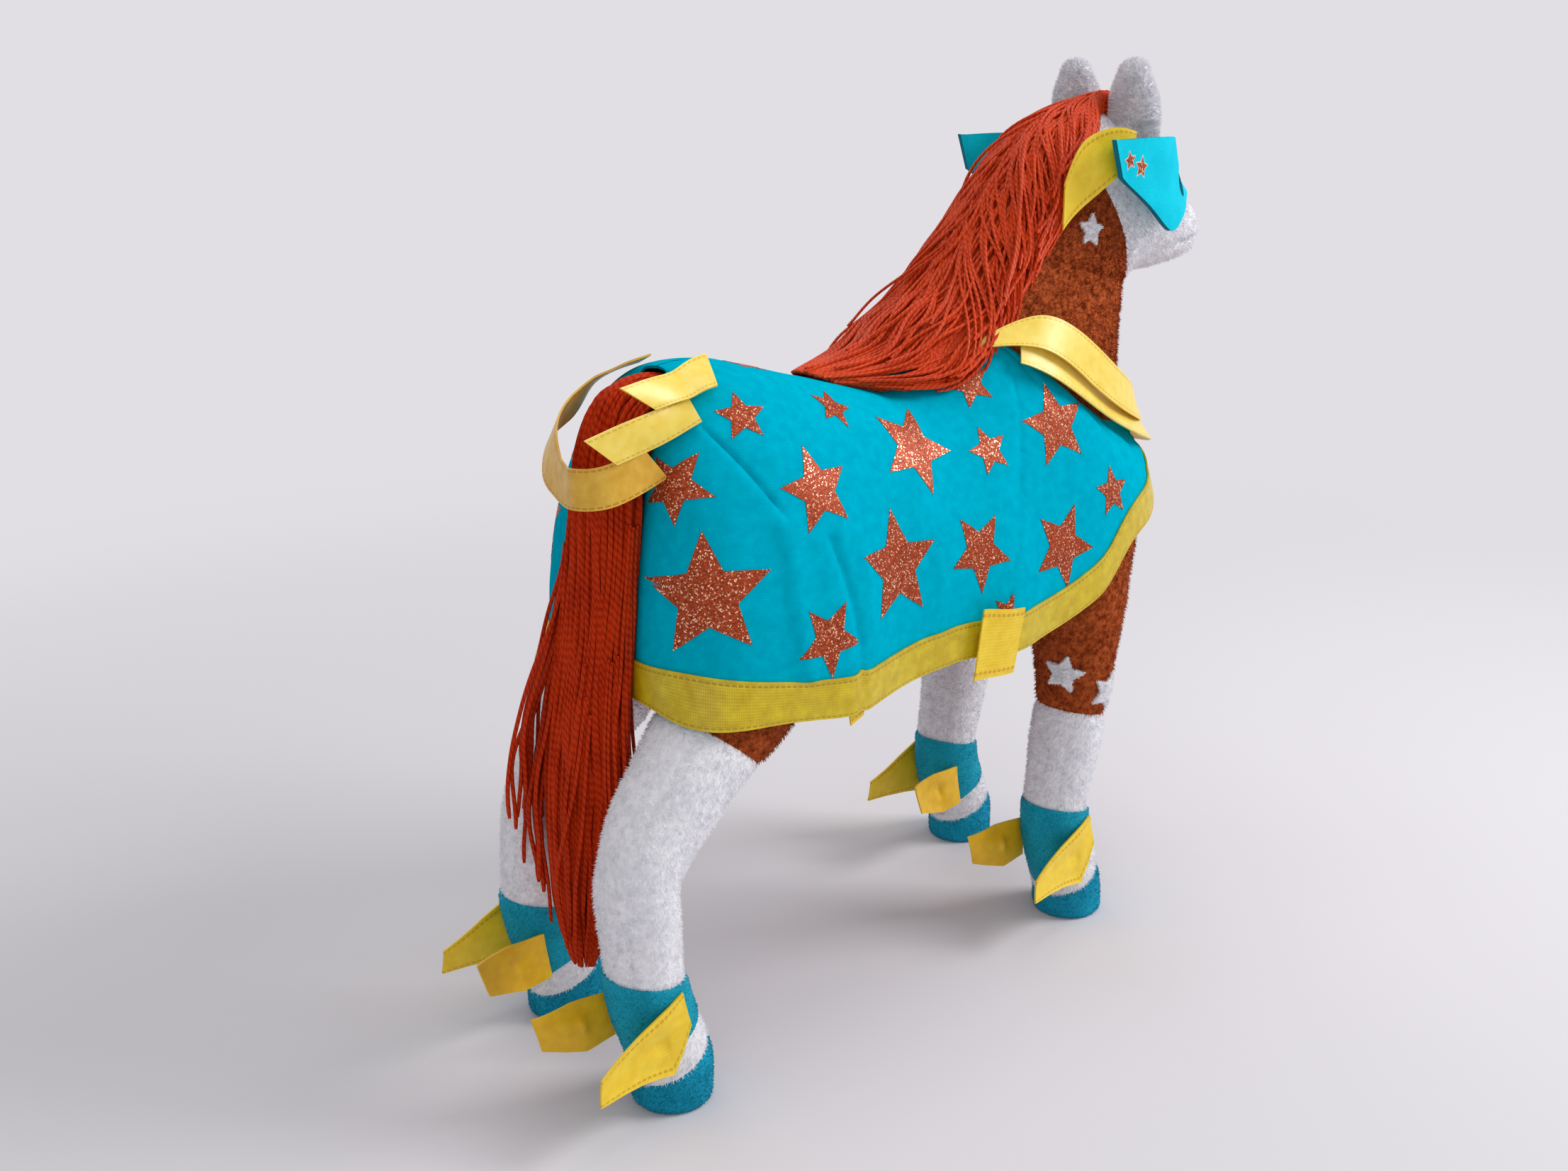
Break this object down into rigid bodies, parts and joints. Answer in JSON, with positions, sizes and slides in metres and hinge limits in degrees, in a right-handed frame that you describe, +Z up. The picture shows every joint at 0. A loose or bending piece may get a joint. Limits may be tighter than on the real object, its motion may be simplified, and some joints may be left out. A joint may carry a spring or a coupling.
{
  "type": "plush horse",
  "caption": "Standing plush horse in a show costume: cloth caparison with ribbon hem and straps, foam mask, felt cuffs with ribbon wings, yarn mane and tail.",
  "frame": {"origin": "middle of the base rectangle of the whole toy's bounding box, on the floor it stands on", "axes": "+X forward to the head, +Y to the horse's left, +Z up"},
  "size_m": [0.4187, 0.1454, 0.4039],
  "materials": {
    "bay": "short curly brown plush",
    "fleece": "short-nap white fleece",
    "felt": "teal felt",
    "cloth": "bright teal satin cotton with printed glitter stars",
    "ribbon": "lemon satin ribbon with stitched edges",
    "foam": "teal craft foam sheet",
    "yarn": "orange wool yarn",
    "bead": "dark gloss toy eye",
    "wire": "plain armature wire"
  },
  "bodies": {
    "body": {"torso": "bay", "neck": "bay", "thigh_right": "bay", "thigh_left": "bay", "forearm_right": "bay", "forearm_left": "bay", "shank_right": "fleece", "shank_left": "fleece", "cannon_right": "fleece", "cannon_left": "fleece", "knee_star_rear_right": "fleece", "knee_star_rear_left": "fleece", "knee_star_outer_right": "fleece", "knee_star_outer_left": "fleece", "hoof_hind_right": "felt", "hoof_hind_left": "felt", "hoof_fore_right": "felt", "hoof_fore_left": "felt", "cuff_hind_right": "felt", "cuff_hind_left": "felt", "cuff_fore_right": "felt", "cuff_fore_left": "felt", "blanket_right": "cloth", "blanket_left": "cloth", "hem_right": "ribbon", "hem_left": "ribbon", "chest_strap_lower": "ribbon", "chest_strap_upper": "ribbon", "belly_strap_right": "ribbon", "belly_strap_left": "ribbon", "belly_tab_right": "ribbon", "belly_tab_left": "ribbon", "tail_strap_loop": "ribbon", "tail_strap_middle": "ribbon", "tail_strap_upper": "ribbon", "wing_hind_right_outer": "ribbon", "wing_hind_right_inner": "ribbon", "wing_hind_left_outer": "ribbon", "wing_hind_left_inner": "ribbon", "wing_fore_right_outer": "ribbon", "wing_fore_right_inner": "ribbon", "wing_fore_left_outer": "ribbon", "wing_fore_left_inner": "ribbon", "mane_neck": "yarn", "spine_wire": "wire", "hind_leg_wire": "wire", "foreleg_wire": "wire"},
    "head": {"head_crown": "bay", "head_face": "fleece", "eye_right": "bead", "eye_left": "bead", "cheek_star_right": "fleece", "cheek_star_left": "fleece", "mane_poll": "yarn", "mask": "foam", "mask_ribbon_right": "ribbon", "mask_ribbon_left": "ribbon"},
    "ear_right": {"ear_right": "fleece"},
    "ear_left": {"ear_left": "fleece"},
    "tail": {"tail": "yarn"}
  },
  "joints": [
    {"name": "head_turn", "type": "hinge", "parent": "body", "child": "head", "pos_m": [0.1045, 0, 0.312], "axis": [0.2111, 0, 0.9775], "range_deg": [-20, 20]},
    {"name": "ear_right_tilt", "type": "hinge", "parent": "head", "child": "ear_right", "pos_m": [0.15, -0.017, 0.368], "axis": [0, 1, 0], "range_deg": [-12, 12], "stiffness_Nm_per_rad": 0.02},
    {"name": "ear_left_tilt", "type": "hinge", "parent": "head", "child": "ear_left", "pos_m": [0.15, 0.017, 0.368], "axis": [0, 1, 0], "range_deg": [-12, 12], "stiffness_Nm_per_rad": 0.02},
    {"name": "tail_lift", "type": "hinge", "parent": "body", "child": "tail", "pos_m": [-0.124, 0, 0.272], "axis": [0, 1, 0], "range_deg": [0, 12]}
  ]
}
